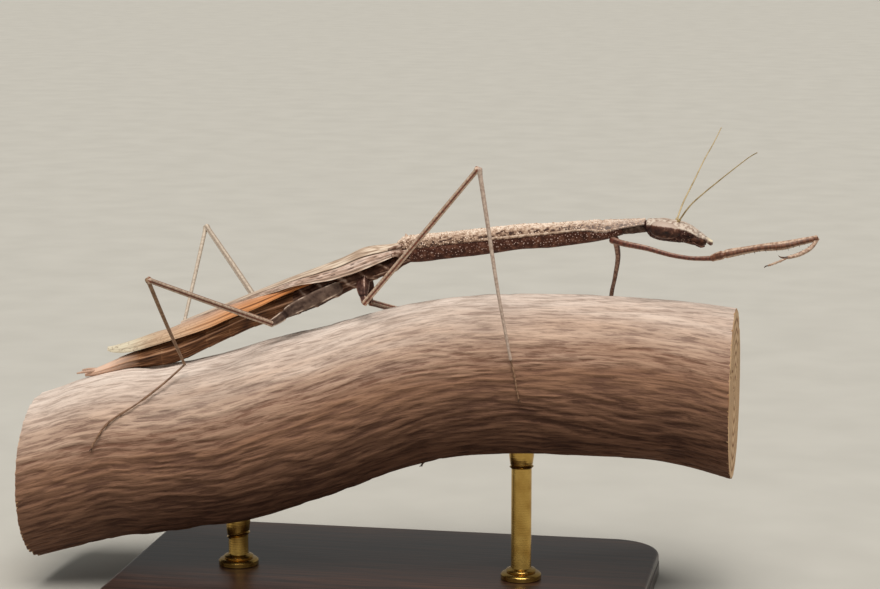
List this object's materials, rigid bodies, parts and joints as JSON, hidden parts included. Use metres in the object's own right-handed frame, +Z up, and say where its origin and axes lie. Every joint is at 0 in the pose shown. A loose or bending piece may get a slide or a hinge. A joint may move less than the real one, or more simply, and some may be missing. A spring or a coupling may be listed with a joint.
{
  "type": "praying mantis model",
  "caption": "Life-size slender brown praying mantis walking on a cut length of branch, held by two rods on a flat display base.",
  "frame": {"origin": "middle of the display base's flat underside", "axes": "+X towards the head, +Y to the animal's left, +Z up"},
  "size_m": [0.1245, 0.0563, 0.075],
  "materials": {
    "cuticle_shield": "matt pinkish brown cuticle, granular and pitted",
    "cuticle_body": "dark red-brown cuticle with pale tubercles",
    "cuticle_leg": "pale brown ridged cuticle with red-brown dashes",
    "cuticle_abdomen": "dark brown striated cuticle with a pale side fold",
    "wing_fore": "leathery cream forewing with raised veins",
    "wing_hind": "orange-tan leathery hindwing edge, paler and speckled to the tip",
    "eye": "smooth compound eye, pale above and dark red-brown below",
    "driftwood": "weathered pinkish-tan driftwood with long wavy fissures",
    "stand_wood": "dark stained and satin-varnished wood",
    "stand_brass": "satin brass rod"
  },
  "bodies": {
    "root": {"abdomen": "cuticle_abdomen", "antenna_left": "cuticle_leg", "antenna_right": "cuticle_leg", "cercus_left": "cuticle_leg", "cercus_right": "cuticle_leg", "eye_left": "eye", "eye_right": "eye", "foreleg_left_coxa": "cuticle_body", "foreleg_left_femur": "cuticle_leg", "foreleg_left_tarsus": "cuticle_leg", "foreleg_left_tibia": "cuticle_leg", "foreleg_right_coxa": "cuticle_body", "foreleg_right_femur": "cuticle_leg", "foreleg_right_tarsus": "cuticle_leg", "foreleg_right_tibia": "cuticle_leg", "forewing_left": "wing_fore", "forewing_right": "wing_fore", "head": "cuticle_shield", "hindleg_left_coxa": "cuticle_body", "hindleg_left_femur": "cuticle_leg", "hindleg_left_tarsus": "cuticle_leg", "hindleg_left_tibia": "cuticle_leg", "hindleg_right_coxa": "cuticle_body", "hindleg_right_femur": "cuticle_leg", "hindleg_right_tarsus": "cuticle_leg", "hindleg_right_tibia": "cuticle_leg", "hindwing_left": "wing_hind", "hindwing_right": "wing_hind", "mesothorax": "cuticle_body", "metathorax": "cuticle_body", "midleg_left_coxa": "cuticle_body", "midleg_left_femur": "cuticle_leg", "midleg_left_tarsus": "cuticle_leg", "midleg_left_tibia": "cuticle_leg", "midleg_right_coxa": "cuticle_body", "midleg_right_femur": "cuticle_leg", "midleg_right_tarsus": "cuticle_leg", "midleg_right_tibia": "cuticle_leg", "mouthparts": "cuticle_body", "neck": "cuticle_body", "perch": "driftwood", "pronotum": "cuticle_shield", "prosternum": "cuticle_body", "stand_base": "stand_wood", "stand_rod_front": "stand_brass", "stand_rod_rear": "stand_brass"}
  },
  "joints": []
}
